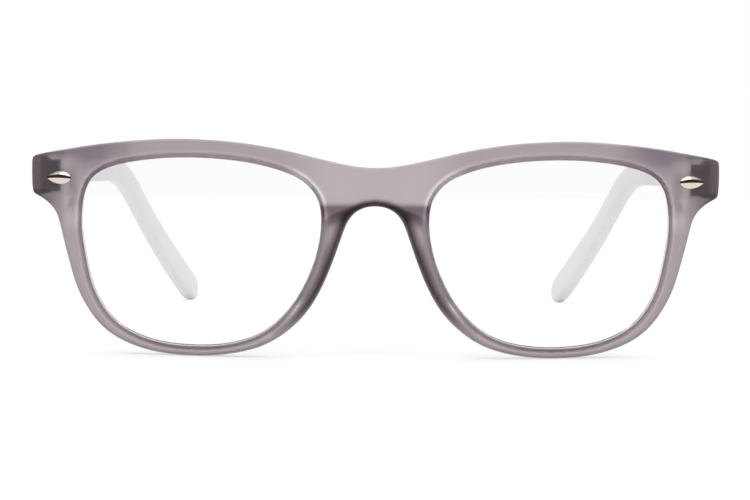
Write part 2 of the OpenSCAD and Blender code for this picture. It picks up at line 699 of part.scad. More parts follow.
front();
lens(true);  // lens_left
lens(false);  // lens_right
stud(true);  // stud_left
stud(false);  // stud_right
hinge_block(true);  // hinge_block_left
hinge_block(false);  // hinge_block_right
hinge_screw(true);  // hinge_screw_left
hinge_screw(false);  // hinge_screw_right
slider(true);  // slider_left
slider(false);  // slider_right
rod_stop(true);  // rod_stop_left
rod_stop(false);  // rod_stop_right
hinge_spring(true);  // hinge_spring_left
hinge_spring(false);  // hinge_spring_right
spring_bush(true);  // spring_bush_left
spring_bush(false);  // spring_bush_right
spring_housing(true);  // spring_housing_left
spring_housing(false);  // spring_housing_right
temple(true);  // temple_left
temple(false);  // temple_right
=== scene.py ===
import math
from collections import Counter

import bmesh
import bpy
from bpy.props import FloatProperty, FloatVectorProperty, IntProperty, PointerProperty
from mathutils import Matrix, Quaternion, Vector
from mathutils.kdtree import KDTree


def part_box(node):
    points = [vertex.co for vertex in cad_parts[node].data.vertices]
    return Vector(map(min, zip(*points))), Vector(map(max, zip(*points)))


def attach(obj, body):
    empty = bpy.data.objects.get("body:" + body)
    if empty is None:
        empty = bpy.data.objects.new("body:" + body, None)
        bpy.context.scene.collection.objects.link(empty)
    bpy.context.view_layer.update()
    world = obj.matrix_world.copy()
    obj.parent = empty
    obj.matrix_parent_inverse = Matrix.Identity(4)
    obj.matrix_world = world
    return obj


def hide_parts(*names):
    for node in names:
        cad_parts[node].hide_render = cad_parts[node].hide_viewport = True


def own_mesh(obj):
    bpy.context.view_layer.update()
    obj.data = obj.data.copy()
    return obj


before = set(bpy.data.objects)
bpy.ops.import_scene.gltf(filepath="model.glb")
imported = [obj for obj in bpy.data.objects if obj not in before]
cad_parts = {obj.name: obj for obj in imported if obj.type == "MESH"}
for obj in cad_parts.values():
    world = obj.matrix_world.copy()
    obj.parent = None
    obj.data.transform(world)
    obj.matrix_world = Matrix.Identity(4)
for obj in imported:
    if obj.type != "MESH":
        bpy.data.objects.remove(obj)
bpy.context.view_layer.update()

bl_info = {
    "name": "Photochromic Glasses",
    "version": (1, 0, 0),
    "blender": (4, 5, 0),
    "location": "View3D > Sidebar > Glasses",
    "description": "Dresses the square translucent glasses and sets them on a white table",
    "category": "Object",
}

MM = 0.001
SIDES = ("left", "right")
# Distance within which the points of a CAD mesh are one point
WELD = 0.0005 * MM
# Least part of a normal along Y on a face that counts as turned to the front or back
SQUARE_ON = 0.93
# Angles between two faces beyond which their edge stays sharp
MOULDED_SHARP = math.radians(48)
LENS_SHARP = math.radians(20)
STUD_SHARP = math.radians(12)
SPRING_SHARP = math.radians(50)
# Number of slices in each half of a stud's almond
STUD_SLICES = 6
# Depth within which a point of a stud lies in the plane of its middle band
BAND_DEPTH = 0.01 * MM
# Half width and height of the area round the nose
NOSE_HALF_WIDTH = 20 * MM
NOSE_HEIGHT = 35 * MM
# Distance between the points that are measured along an edge
STEP = 0.3 * MM
# How steeply the front gets rougher as its surface turns from the side to the back
BACK_RISE = 3
# Bounces up to which a ray sees the plain white of the surroundings and of the table
SKY_BOUNCES = 3
TABLE_BOUNCES = 2
# The table is a square of twice this size, a hair below the glasses so that no two faces coincide
TABLE_HALF = 1.5
TABLE_GAP = 0.02 * MM


# Sizes and colours that a user would change

class PlasticSettings(bpy.types.PropertyGroup):
    smoke: FloatVectorProperty(name="Smoke", description="Surface colour of the front's plastic",
                               subtype="COLOR", size=3, default=(0.585, 0.538, 0.554), min=0, max=1)
    smoke_body: FloatVectorProperty(name="Smoke body", description="Colour that the front takes with depth",
                                    subtype="COLOR", size=3, default=(0.53, 0.455, 0.475), min=0, max=1)
    absorption: FloatProperty(name="Absorption", description="Density of the smoke in the front, per metre",
                              default=150.0, min=0)
    roughness: FloatProperty(name="Roughness", description="Mean roughness of the front's satin face",
                             default=0.34, min=0, max=1)
    back_roughness: FloatProperty(name="Back roughness", description="Roughness that the front's back adds",
                                  default=0.2, min=0, max=1)
    # Painted shade and painted light on the front: the tints below darken it as shade would, and the gains
    # make it paler as light would
    nose_shade: FloatVectorProperty(name="Nose tint", description="Tint of the dark line along the nose",
                                   subtype="COLOR", size=3, default=(0.035, 0.022, 0.032), min=0, max=1)
    lens_line_shade: FloatVectorProperty(name="Line tint", description="Tint of the dark line round the lenses",
                                   subtype="COLOR", size=3, default=(0.6, 0.54, 0.56), min=0, max=1)
    pad_shade: FloatVectorProperty(name="Pad tint", description="Tint of the top of the moulded nose pads",
                                  subtype="COLOR", size=3, default=(0.36, 0.31, 0.35), min=0, max=1)
    brow_shade: FloatVectorProperty(name="Brow tint", description="Tint of the shaded corners of the front",
                                   subtype="COLOR", size=3, default=(0.50, 0.475, 0.54), min=0, max=1)
    ring_gain: FloatProperty(name="Ring gain", description="How much paler it is over the lens grooves",
                             default=1.3, min=0)
    bridge_gain: FloatProperty(name="Bridge gain", description="How much paler the front is in the bridge",
                               default=1.2, min=0)
    rim_gain: FloatProperty(name="Rim gain", description="How much paler the rims are beside the nose",
                            default=1.35, min=0)
    shoulder_gain: FloatProperty(name="Shoulder gain", description="How much paler it is beside the hinges",
                                 default=1.4, min=0)
    end_gain: FloatProperty(name="End gain", description="How much paler it is outside the hinges",
                            default=1.3, min=1)
    pad_reach: FloatProperty(name="Pad reach", description="Distance from the middle to the pads' far side",
                             subtype="DISTANCE", unit="LENGTH", default=11.6 * MM, min=0)
    groove: FloatProperty(name="Groove", description="Most that a lens reaches past its opening",
                          subtype="DISTANCE", unit="LENGTH", default=1.2 * MM, min=0)
    frost: FloatVectorProperty(name="Frost", description="Colour of the temples' plastic at the tips",
                               subtype="COLOR", size=3, default=(0.985, 0.95, 0.98), min=0, max=1)
    # Painted shade: the temples' colour beside the hinges, where the front shades them
    frost_shaded: FloatVectorProperty(name="Frost ahead", description="Its colour beside the hinges",
                                     subtype="COLOR", size=3, default=(0.86, 0.82, 0.87), min=0, max=1)
    # Painted shade on the end of a temple that lies in the gap behind the front
    butt_shade: FloatVectorProperty(name="Butt", description="Colour of a temple's end behind the front",
                              subtype="COLOR", size=3, default=(0.37, 0.28, 0.38), min=0, max=1)
    rounding: IntProperty(name="Rounding", description="Subdivision steps of the moulded pieces",
                          default=2, min=0, max=3)


class LensSettings(bpy.types.PropertyGroup):
    tint: FloatVectorProperty(name="Tint", description="Colour of the lens in its clear state",
                              subtype="COLOR", size=3, default=(0.98, 0.976, 0.98), min=0, max=1)
    edge: FloatVectorProperty(name="Edge", description="Colour of the ground bevel of a lens",
                              subtype="COLOR", size=3, default=(0.32, 0.30, 0.31), min=0, max=1)
    ior: FloatProperty(name="Index", description="Refractive index of the lens resin",
                       default=1.5, min=1, max=2)
    coat: FloatVectorProperty(name="Coat", description="What the anti-reflective coat leaves of the shine",
                              subtype="COLOR", size=3, default=(0.18, 0.22, 0.28), min=0, max=1)


class MetalSettings(bpy.types.PropertyGroup):
    nickel: FloatVectorProperty(name="Nickel", description="Colour of the polished studs",
                                subtype="COLOR", size=3, default=(0.72, 0.63, 0.55), min=0, max=1)
    # Painted dark reflection on the studs' flat middle band
    band: FloatVectorProperty(name="Band", description="Tint of the studs' dark middle band",
                              subtype="COLOR", size=3, default=(0.045, 0.034, 0.032), min=0, max=1)
    upper_rise: FloatProperty(name="Upper rise", description="Bow of the upper edge of a stud's middle band",
                              subtype="DISTANCE", unit="LENGTH", default=0.5 * MM, min=0)
    lower_rise: FloatProperty(name="Lower rise", description="Bow of the lower edge of that band",
                              subtype="DISTANCE", unit="LENGTH", default=0.14 * MM, min=0)
    stretch: FloatProperty(name="Stretch", description="Length of a stud's almond, as a share of its CAD's",
                           default=1.1, min=1)
    head: FloatProperty(name="Head", description="Depth of a stud's almond, without its post",
                        subtype="DISTANCE", unit="LENGTH", default=0.95 * MM, min=0)
    hinge: FloatVectorProperty(name="Hinge", description="Colour of the hinge parts",
                               subtype="COLOR", size=3, default=(0.62, 0.61, 0.60), min=0, max=1)
    # Painted shade on the hinge leaf where it lies inside the front's plastic
    leaf_shade: FloatVectorProperty(name="Bonded", description="Colour of the hinge leaf inside the plastic",
                                subtype="COLOR", size=3, default=(0.10, 0.078, 0.085), min=0, max=1)
    brass: FloatVectorProperty(name="Brass", description="Colour of the bushes",
                               subtype="COLOR", size=3, default=(0.78, 0.62, 0.34), min=0, max=1)
    pull: FloatProperty(name="Pull", description="Travel of a sprung hinge, which shortens its spring",
                        subtype="DISTANCE", unit="LENGTH", default=1.2 * MM, min=0)


class StageSettings(bpy.types.PropertyGroup):
    distance: FloatProperty(name="Distance", description="Distance from the camera to the bridge's front",
                            subtype="DISTANCE", unit="LENGTH", default=325.4 * MM, min=0)
    eye_height: FloatProperty(name="Eye height", description="Height of the camera over the table",
                              subtype="DISTANCE", unit="LENGTH", default=40.25 * MM, min=0)
    pitch: FloatProperty(name="Pitch", description="Downward tilt of the camera",
                         subtype="ANGLE", unit="ROTATION", default=math.radians(3.095))
    roll: FloatProperty(name="Roll", description="Turn of the camera about its own axis",
                        subtype="ANGLE", unit="ROTATION", default=math.radians(0.45))
    focal: FloatProperty(name="Focal length", description="Focal length in millimetres on a 36 mm sensor",
                         default=77.12, min=1)
    daylight: FloatProperty(name="Daylight", description="Strength of the white backdrop as a light",
                            default=0.85, min=0)
    ceiling: FloatProperty(name="Ceiling", description="Strength of the white ceiling as a light",
                           default=0.65, min=0)
    room: FloatProperty(name="Room", description="Strength of the room behind the camera",
                        default=0.3, min=0)
    lamp: FloatProperty(name="Lamp", description="Power of the large lamp overhead, in watts",
                        default=1.15, min=0)
    side_lamp: FloatProperty(name="Side lamp", description="Power of each lamp at the sides, in watts",
                             default=1.75, min=0)
    near_glow: FloatProperty(name="Near glow", description="Light that the table gives off near its middle",
                             default=0.56, min=0)
    far_glow: FloatProperty(name="Far glow", description="Light that the table gives off further out",
                            default=0.67, min=0)


# Helpers for shader nodes

def feed(entry, value):
    """Links a socket to a node's input, or stores a number or colour in it."""
    if isinstance(value, bpy.types.NodeSocket):
        entry.id_data.links.new(value, entry)
    elif entry.type == "RGBA" and len(value) == 3:
        entry.default_value = (*value, 1)
    else:
        entry.default_value = value


def set_node(made, **values):
    """Sets a node's inputs by name, with underscores for spaces, and else its properties."""
    for key, value in values.items():
        name = key.replace("_", " ")
        if name in made.inputs:
            feed(made.inputs[name], value)
        else:
            setattr(made, key, value)
    return made


def add_node(tree, kind, **values):
    return set_node(tree.nodes.new(kind), **values)


def calculate(tree, operation, *values, clamp=False):
    """Result of a calculation with sockets and plain numbers."""
    made = add_node(tree, "ShaderNodeMath", operation=operation, use_clamp=clamp)
    for entry, value in zip(made.inputs, values):
        feed(entry, value)
    return made.outputs[0]


def product(tree, first, *others):
    """The values multiplied with each other."""
    result = first
    for other in others:
        result = calculate(tree, "MULTIPLY", result, other)
    return result


def span(tree, value, low, high, start=0.0, end=1.0, curve="SMOOTHSTEP"):
    """Change from start at low to end at high."""
    ramp = add_node(tree, "ShaderNodeMapRange", interpolation_type=curve, Value=value, From_Min=low,
                    From_Max=high, To_Min=start, To_Max=end)
    return ramp.outputs["Result"]


def blended(tree, share, first, second, way="MIX"):
    """Colour that is the first where share is 0, and the second or their product where it is 1."""
    made = add_node(tree, "ShaderNodeMix", data_type="RGBA", blend_type=way)
    return set_node(made, Factor=share, A=first, B=second).outputs["Result"]


def attribute(tree, name):
    return add_node(tree, "ShaderNodeAttribute", attribute_name=name).outputs["Fac"]


def object_place(tree):
    return add_node(tree, "ShaderNodeTexCoord").outputs["Object"]


def along_axes(tree, place):
    """The three parts of a place, as sockets named X, Y and Z."""
    return add_node(tree, "ShaderNodeSeparateXYZ", Vector=place).outputs


def lay_out(tree):
    """Places each node in a column to the left of all the nodes that it feeds."""
    column = {made.name: 0 for made in tree.nodes}
    for _ in tree.nodes:
        for link in tree.links:
            beside = column[link.to_node.name] + 1
            column[link.from_node.name] = max(column[link.from_node.name], beside)
    rows = Counter()
    for made in tree.nodes:
        place = column[made.name]
        made.location = (-240 * place, -320 * rows[place])
        rows[place] += 1


def new_material(name):
    material = bpy.data.materials.new(name)
    material.use_nodes = True
    tree = material.node_tree
    return material, tree, tree.nodes["Principled BSDF"]


def satin_group():
    """Satin skin: fine grain, faint rub marks and cloudy roughness. A size of grain is in millimetres."""
    group = bpy.data.node_groups.new("Satin_skin", "ShaderNodeTree")
    face = group.interface
    face.new_socket("Place", in_out="INPUT", socket_type="NodeSocketVector")
    for name in ("Roughness", "Spread", "Grain size", "Grain depth"):
        face.new_socket(name, in_out="INPUT", socket_type="NodeSocketFloat")
    face.new_socket("Roughness", in_out="OUTPUT", socket_type="NodeSocketFloat")
    face.new_socket("Normal", in_out="OUTPUT", socket_type="NodeSocketVector")
    face.new_socket("Cloud", in_out="OUTPUT", socket_type="NodeSocketFloat")
    enter = group.nodes.new("NodeGroupInput").outputs
    leave = group.nodes.new("NodeGroupOutput")
    place = enter["Place"]
    cloud = add_node(group, "ShaderNodeTexNoise", Vector=place, Scale=90.0, Detail=4.0, Roughness=0.55)
    cloud = cloud.outputs["Fac"]
    low = calculate(group, "SUBTRACT", enter["Roughness"], enter["Spread"])
    high = calculate(group, "ADD", enter["Roughness"], enter["Spread"])
    cloudy = span(group, cloud, 0.3, 0.7, low, high, curve="LINEAR")
    drawn_out = add_node(group, "ShaderNodeMapping", Vector=place, Scale=(0.25, 1.0, 1.0)).outputs[0]
    marks = add_node(group, "ShaderNodeTexNoise", Vector=drawn_out, Scale=260.0, Detail=2.0, Distortion=1.5)
    rubbed = calculate(group, "MULTIPLY_ADD", marks.outputs["Fac"], 0.04, cloudy)
    per_metre = calculate(group, "DIVIDE", 1.0 / MM, enter["Grain size"])
    grain = add_node(group, "ShaderNodeTexNoise", Vector=place, Scale=per_metre, Detail=3.0, Roughness=0.6)
    bump = add_node(group, "ShaderNodeBump", Distance=0.02 * MM, Strength=enter["Grain depth"],
                    Height=grain.outputs["Fac"])
    set_node(leave, Roughness=rubbed, Normal=bump.outputs["Normal"], Cloud=cloud)
    lay_out(group)
    return group


def satin(tree, **values):
    """Outputs of the satin skin: Roughness, Normal and Cloud."""
    made = tree.nodes.new("ShaderNodeGroup")
    made.node_tree = bpy.data.node_groups.get("Satin_skin") or satin_group()
    return set_node(made, Place=object_place(tree), **values).outputs


# Materials

def light_and_shade(tree, settings):
    """Masks of painted light and painted shade over the front, where the plastic is made paler or darker as
    light would make it, each with its gain or tint. Their limits are shares of the front's height, of its
    half width or of the reach of the nose pads, or else millimetres from an edge."""
    high_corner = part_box("front")[1]
    top, end, pads = high_corner.z, high_corner.x, settings.pad_reach
    place = along_axes(tree, object_place(tree))
    height, side = place["Z"], calculate(tree, "ABSOLUTE", place["X"])
    nose_away, lens_away = attribute(tree, "nose_distance"), attribute(tree, "lens_distance")

    def rising(value, unit, low, high, most=1.0):
        return span(tree, value, low * unit, high * unit, 0.0, most)

    def falling(value, unit, low, high):
        return span(tree, value, low * unit, high * unit, 1.0, 0.0)

    # Painted light in the bridge and on the rims beside the nose
    bridge = falling(side, pads, 0.6, 1.8)
    near_nose = falling(side, pads, 1.2, 1.7)
    nose_rim = product(tree, falling(side, pads, 1.4, 2.0), falling(height, top, 0.58, 0.66))
    # Painted shade on the tops of the moulded nose pads, seen through the plastic
    pad_top = product(tree, rising(height, top, 0.585, 0.68), falling(height, top, 0.69, 0.72),
                      falling(side, pads, 0.97, 1.03))
    # Painted shade: the dark line beside the nose is widest on the rims and narrow under the bridge
    narrowing = span(tree, height, 0.66 * top, 0.72 * top, 1.0, 1.5)
    nose_line = product(tree, falling(product(tree, nose_away, narrowing), 1, 0.9, 3.1),
                        rising(height, top, 0.03, 0.25))
    # Painted light over the lens grooves, where the plastic is thin, and painted shade in a line at their
    # mouths
    ring = falling(lens_away, 1, 0.2, 0.9)
    hole_line = product(tree, falling(lens_away, 1, 0.05, 0.45), rising(side, pads, 1.2, 1.7))
    # Painted shade in the upper corners, with painted light that makes it less towards the hinges and the
    # lens openings
    shoulder = product(tree, rising(side, pads, 4.4, 4.8), falling(side, pads, 5.5, 5.65),
                       rising(height, top, 0.55, 0.65))
    below = product(tree, rising(side, end, 0.814, 0.953), falling(height, top, 0.733, 0.955))
    brow = product(tree, rising(side, end, 0.667, 0.8), falling(below, 1, 0.0, 0.15),
                   rising(height, top, 0.76, 0.95))
    # Painted shade on the end pieces under the hinges and painted light outside them
    under_end = product(tree, rising(side, end, 0.9, 0.945, most=0.7), rising(height, top, 0.675, 0.71),
                        falling(height, top, 0.755, 0.768))
    outer_end = product(tree, rising(side, end, 0.965, 0.98), rising(height, top, 0.755, 0.768))

    def gain(value):
        return (value,) * 3

    return ((bridge, gain(settings.bridge_gain)), (ring, gain(settings.ring_gain)),
            (nose_rim, gain(settings.rim_gain)), (product(tree, ring, near_nose), gain(settings.ring_gain)),
            (shoulder, gain(settings.shoulder_gain)), (nose_line, settings.nose_shade),
            (hole_line, settings.lens_line_shade), (pad_top, settings.pad_shade), (brow, settings.brow_shade),
            (under_end, settings.brow_shade), (outer_end, gain(settings.end_gain)))


def smoke_plastic(settings):
    """Smoke-grey translucent plastic of the front."""
    material, tree, shader = new_material("Smoke_plastic")
    skin = satin(tree, Roughness=settings.roughness, Spread=0.02, Grain_size=0.3, Grain_depth=0.1)
    darker, paler = ([part * share for part in settings.smoke] for share in (0.95, 1.05))
    colour = blended(tree, skin["Cloud"], darker, paler)
    for share, tint in light_and_shade(tree, settings):
        colour = blended(tree, share, colour, tint, "MULTIPLY")
    roughness = calculate(tree, "MULTIPLY_ADD", attribute(tree, "back_side"), settings.back_roughness,
                          skin["Roughness"])
    set_node(shader, Base_Color=colour, Roughness=roughness, Normal=skin["Normal"], Transmission_Weight=0.9,
             IOR=1.49, Specular_Tint=(0.5, 0.4, 0.48))
    depth = add_node(tree, "ShaderNodeVolumeAbsorption")
    set_node(depth, Color=settings.smoke_body, Density=settings.absorption)
    set_node(tree.nodes["Material Output"], Volume=depth.outputs[0])
    lay_out(tree)
    return material


def changed_ahead(tree, start, depth, ahead, colour):
    """Colour that is another one ahead of a place along Y and comes in over a depth behind it."""
    place = along_axes(tree, object_place(tree))
    return blended(tree, span(tree, place["Y"], start, start + depth, curve="LINEAR"), ahead, colour)


def frost_plastic(settings):
    """Milky pale plastic of the temples, with painted shade that darkens it towards the hinges and most on
    the end that lies behind the front.
    """
    material, tree, shader = new_material("Frost_plastic")
    skin = satin(tree, Roughness=0.35, Spread=0.05, Grain_size=0.3, Grain_depth=0.12)
    low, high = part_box("temple_left")
    # Painted shade, from darker beside the hinges to the plain colour towards the tips
    to_tip = span(tree, along_axes(tree, object_place(tree))["Y"], low.y, high.y * 0.9)
    colour = blended(tree, to_tip, settings.frost_shaded, settings.frost)
    colour = blended(tree, skin["Cloud"], colour, (0.96, 0.96, 0.96), "MULTIPLY")
    # Painted shade on the end that lies behind the front
    colour = changed_ahead(tree, low.y + 0.3 * MM, depth=0.5 * MM, ahead=settings.butt_shade, colour=colour)
    set_node(shader, Base_Color=colour, Roughness=skin["Roughness"], Normal=skin["Normal"],
             Transmission_Weight=0.08, IOR=1.46, Subsurface_Weight=0.3, Subsurface_Scale=2 * MM,
             Subsurface_Radius=(1, 1, 1))
    lay_out(tree)
    return material


def lens_resin(settings):
    """Clear lens with the faint clouding of fine wear."""
    material, tree, shader = new_material("Lens_resin")
    wear = add_node(tree, "ShaderNodeTexNoise", Scale=140.0, Detail=6.0, Roughness=0.7)
    set_node(wear, Vector=object_place(tree))
    haze = span(tree, wear.outputs["Fac"], 0.62, 0.8, end=0.03, curve="LINEAR")
    set_node(shader, Base_Color=settings.tint, Roughness=haze, Transmission_Weight=1.0, IOR=settings.ior,
             Specular_Tint=settings.coat)
    lay_out(tree)
    return material


def lens_edge(settings):
    """Ground bevel of a lens: matt, grey and crossed by fine grinding marks."""
    material, tree, shader = new_material("Lens_edge")
    skin = satin(tree, Roughness=0.6, Spread=0.08, Grain_size=0.1, Grain_depth=0.4)
    set_node(shader, Base_Color=settings.edge, Roughness=skin["Roughness"], Normal=skin["Normal"],
             Transmission_Weight=0.3, IOR=settings.ior)
    lay_out(tree)
    return material


def metal(name, colour, roughness, spread, grain=0.2, recoloured=None):
    """Metal with a fine grain and uneven polish. A recolouring function turns its colour into a socket."""
    material, tree, shader = new_material(name)
    skin = satin(tree, Roughness=roughness, Spread=spread, Grain_size=0.12, Grain_depth=grain)
    set_node(shader, Base_Color=recoloured(tree, colour) if recoloured else colour, Metallic=1.0,
             Roughness=skin["Roughness"], Normal=skin["Normal"])
    lay_out(tree)
    return material


# Helpers for meshes

def copied(node_name):
    """A bmesh of a CAD node, with its loose triangles joined at their points."""
    bm = bmesh.new()
    bm.from_mesh(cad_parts[node_name].data)
    bmesh.ops.remove_doubles(bm, verts=bm.verts, dist=WELD)
    return bm


def copied_for_rounding(node_name):
    """The same, with its triangles paired into quads, which subdivide smoothly."""
    bm = copied(node_name)
    bmesh.ops.dissolve_degenerate(bm, edges=bm.edges, dist=WELD)
    bmesh.ops.join_triangles(bm, faces=bm.faces, angle_face_threshold=math.radians(50),
                             angle_shape_threshold=math.radians(180))
    return bm


def crease_sharp(bm, angle):
    layer = bm.edges.layers.float.get("crease_edge") or bm.edges.layers.float.new("crease_edge")
    for edge in bm.edges:
        sharp = not edge.is_manifold or edge.calc_face_angle(0) > angle
        edge[layer] = 1.0 if sharp else 0.0
        edge.smooth = not sharp


def finish_mesh(bm, name, material, body, replaced):
    """Makes the bmesh an object that rides on a body and takes the place of a CAD node."""
    mesh = bpy.data.meshes.new(name)
    bm.to_mesh(mesh)
    bm.free()
    if "custom_normal" in mesh.attributes:
        mesh.attributes.remove(mesh.attributes["custom_normal"])
    mesh.materials.clear()
    mesh.materials.append(material)
    mesh.shade_smooth()
    piece = bpy.data.objects.new(name, mesh)
    bpy.context.scene.collection.objects.link(piece)
    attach(piece, body)
    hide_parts(replaced)
    return piece


def subdivide(piece, steps):
    modifier = piece.modifiers.new("Rounding", "SUBSURF")
    modifier.levels = steps
    modifier.render_levels = steps


def apply_modifiers(piece):
    """Makes the modifiers' result the piece's own mesh."""
    shown = piece.evaluated_get(bpy.context.evaluated_depsgraph_get())
    mesh = bpy.data.meshes.new_from_object(shown)
    piece.modifiers.clear()
    piece.data = mesh
    return mesh


def nearest_finder(points):
    """Function that gives the distance from a place to the nearest point, in the plane of X and Z."""
    tree = KDTree(len(points))
    for i, point in enumerate(points):
        tree.insert((point.x, 0, point.z), i)
    tree.balance()
    return lambda place: tree.find((place.x, 0, place.z))[2]


def contour_points(bm, wanted):
    """Points of the edges where the front turns from its face to its back, as seen along Y."""
    points = []
    for edge in bm.edges:
        if len(edge.link_faces) != 2:
            continue
        first, second = (face.normal for face in edge.link_faces)
        if (first.y < 0) == (second.y < 0):
            continue
        a, b = (vertex.co for vertex in edge.verts)
        if wanted((a + b) / 2):
            steps = max(1, int((b - a).length / STEP))
            points += [a.lerp(b, i / steps) for i in range(steps + 1)]
    return points


def write_values(mesh, name, values):
    mesh.attributes.new(name, "FLOAT", "POINT").data.foreach_set("value", values)


def shape_almond(bm, settings):
    """Lengthens a stud's almond, bows its middle band upwards and marks the band in a face layer."""
    bmesh.ops.dissolve_limit(bm, angle_limit=math.radians(1), verts=bm.verts, edges=bm.edges)
    bm.normal_update()
    to_front = [face for face in bm.faces if face.normal.y < -SQUARE_ON]
    band = max(to_front, key=lambda face: face.calc_area())
    middle, out = band.calc_center_median(), band.normal.copy()
    up = (Vector((0, 0, 1)) - out * out.z).normalized()
    along = up.cross(out)
    half = max(abs((vertex.co - middle).dot(along)) for vertex in band.verts)
    for i in range(1 - STUD_SLICES, STUD_SLICES):
        cut = middle + along * (half * i / STUD_SLICES)
        bmesh.ops.bisect_plane(bm, geom=bm.verts[:] + bm.edges[:] + bm.faces[:], plane_co=cut,
                               plane_no=along, dist=1e-7)
    for vertex in bm.verts:
        place = vertex.co - middle
        if abs(place.dot(out)) < BAND_DEPTH:
            share = max(0.0, 1 - (place.dot(along) / half) ** 2)
            rise = settings.upper_rise if place.dot(up) > 0 else settings.lower_rise
            vertex.co += up * (rise * share)
        if place.dot(out) > -settings.head:
            vertex.co += along * place.dot(along) * (settings.stretch - 1)
    bmesh.ops.recalc_face_normals(bm, faces=bm.faces)
    crease_sharp(bm, STUD_SHARP)
    bm.normal_update()
    layer = bm.faces.layers.float.new("ridge")
    for face in bm.faces:
        on_top = all(abs((vertex.co - middle).dot(out)) < 2 * BAND_DEPTH for vertex in face.verts)
        face[layer] = 1.0 if on_top and face.normal.dot(out) > 0.9 else 0.0


# Operators: one for each piece or group of like pieces

class GLASSES_OT_front(bpy.types.Operator):
    """Moulded front with its bridge, rims and nose pads"""
    bl_idname = "glasses.front"
    bl_label = "Front"

    def execute(self, context):
        settings = context.scene.glasses_plastic
        bm = copied_for_rounding("front")
        crease_sharp(bm, MOULDED_SHARP)
        bm.normal_update()
        lenses = [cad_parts[f"lens_{side}"].data for side in SIDES]
        to_lens = nearest_finder([vertex.co for lens in lenses for vertex in lens.vertices])

        def at_lens(point):
            return to_lens(point) < settings.groove

        def at_nose(point):
            return abs(point.x) < NOSE_HALF_WIDTH and point.z < NOSE_HEIGHT and not at_lens(point)

        lines = {"nose_distance": contour_points(bm, at_nose), "lens_distance": contour_points(bm, at_lens)}
        material = smoke_plastic(settings)
        piece = finish_mesh(bm, "moulded_front", material, "front_frame", "front")
        subdivide(piece, settings.rounding)
        mesh = apply_modifiers(piece)
        for name, points in lines.items():
            away = nearest_finder(points)
            write_values(mesh, name, [away(vertex.co) / MM for vertex in mesh.vertices])
        back = [min(1.0, max(0.0, vertex.normal.y * BACK_RISE)) for vertex in mesh.vertices]
        write_values(mesh, "back_side", back)
        return {"FINISHED"}


class GLASSES_OT_temples(bpy.types.Operator):
    """Two temples with their ear bends"""
    bl_idname = "glasses.temples"
    bl_label = "Temples"

    def execute(self, context):
        settings = context.scene.glasses_plastic
        material = frost_plastic(settings)
        for side in SIDES:
            temple, body = f"temple_{side}", f"temple_arm_{side}"
            bm = copied_for_rounding(temple)
            crease_sharp(bm, MOULDED_SHARP)
            piece = finish_mesh(bm, body, material, body, temple)
            subdivide(piece, settings.rounding)
        return {"FINISHED"}


class GLASSES_OT_lenses(bpy.types.Operator):
    """Clear lenses with their bevelled edges"""
    bl_idname = "glasses.lenses"
    bl_label = "Lenses"

    def execute(self, context):
        settings = context.scene.glasses_lens
        material, edge = lens_resin(settings), lens_edge(settings)
        for side in SIDES:
            lens = f"lens_{side}"
            bm = copied(lens)
            crease_sharp(bm, LENS_SHARP)
            bm.normal_update()
            for face in bm.faces:
                face.material_index = 0 if abs(face.normal.y) > SQUARE_ON else 1
            piece = finish_mesh(bm, f"clear_{lens}", material, "front_frame", lens)
            piece.data.materials.append(edge)
        return {"FINISHED"}


class GLASSES_OT_studs(bpy.types.Operator):
    """Polished almond studs, each with a narrow band between its two slopes that carries a painted dark
    reflection
    """
    bl_idname = "glasses.studs"
    bl_label = "Studs"

    def execute(self, context):
        settings = context.scene.glasses_metal

        # Painted dark reflection on the studs' middle band
        def with_band_reflection(tree, colour):
            return blended(tree, attribute(tree, "ridge"), colour, settings.band, "MULTIPLY")

        material = metal("Polished_nickel", settings.nickel, roughness=0.08, spread=0.03, grain=0.02,
                         recoloured=with_band_reflection)
        for side in SIDES:
            stud = f"stud_{side}"
            bm = copied(stud)
            shape_almond(bm, settings)
            finish_mesh(bm, f"almond_{stud}", material, "front_frame", stud)
        return {"FINISHED"}


class GLASSES_OT_hinges(bpy.types.Operator):
    """Hinge blocks, screws, sliders and spring units"""
    bl_idname = "glasses.hinges"
    bl_label = "Hinges"

    def execute(self, context):
        settings = context.scene.glasses_metal
        plastic_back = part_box("temple_left")[0].y

        def shaded_inside_front(tree, colour):
            """Painted shade where the leaf lies inside the plastic of the front."""
            return changed_ahead(tree, plastic_back - 0.3 * MM, depth=0.2 * MM, ahead=settings.leaf_shade,
                                 colour=colour)

        leaf = metal("Shaded_hinge_leaf", settings.hinge, roughness=0.4, spread=0.08, recoloured=shaded_inside_front)
        satin_nickel = metal("Hinge_nickel", settings.hinge, roughness=0.34, spread=0.08)
        turned = metal("Turned_steel", settings.hinge, roughness=0.22, spread=0.05)
        brass = metal("Bush_brass", settings.brass, roughness=0.3, spread=0.05)
        finishes = {"hinge_block": leaf, "slider": satin_nickel, "spring_housing": satin_nickel,
                    "hinge_screw": turned, "rod_stop": turned, "spring_bush": brass}
        for part, material in finishes.items():
            for side in SIDES:
                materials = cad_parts[f"{part}_{side}"].data.materials
                materials.clear()
                materials.append(material)
        return {"FINISHED"}


class GLASSES_OT_springs(bpy.types.Operator):
    """Coil springs, each riding on its hinge's slider"""
    bl_idname = "glasses.springs"
    bl_label = "Springs"

    def execute(self, context):
        settings = context.scene.glasses_metal
        darker = [part * 0.8 for part in settings.hinge]
        wire = metal("Spring_wire", darker, roughness=0.3, spread=0.05)
        for side in SIDES:
            spring, body = f"hinge_spring_{side}", f"hinge_slider_{side}"
            bm = copied(spring)
            crease_sharp(bm, SPRING_SHARP)
            coil = finish_mesh(bm, f"coil_spring_{side}", wire, body, spring)
            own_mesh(coil)
        return {"FINISHED"}


# Stage

